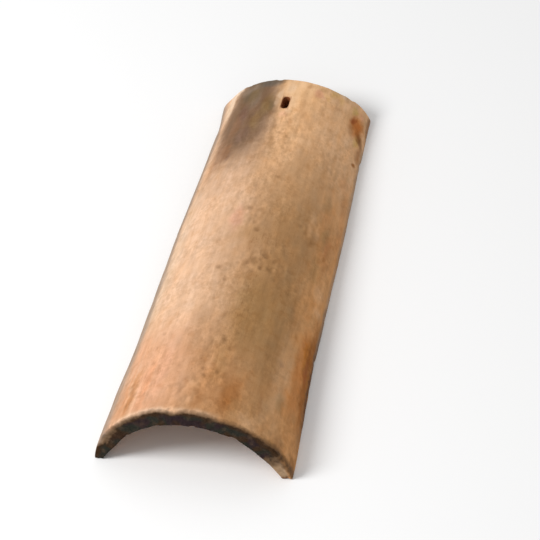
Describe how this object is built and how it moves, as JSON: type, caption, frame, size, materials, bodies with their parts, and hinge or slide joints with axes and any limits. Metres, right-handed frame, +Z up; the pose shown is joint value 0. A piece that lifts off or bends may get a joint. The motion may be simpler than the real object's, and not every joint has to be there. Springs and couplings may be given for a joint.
{
  "type": "clay barrel tile",
  "caption": "Tapered half-barrel clay roof tile with a nail slot near its narrow head; it sheds water over a roof's joints.",
  "frame": {"origin": "on the surface that the tile lies on, under the middle of its length and width", "axes": "+Y along the tile from its wide tail to its narrow head, +X across it, +Z up through the crown"},
  "size_m": [0.1774, 0.457, 0.072],
  "materials": {
    "fired_clay": "matt"
  },
  "bodies": {
    "root": {"barrel_tile": "fired_clay"}
  },
  "joints": []
}
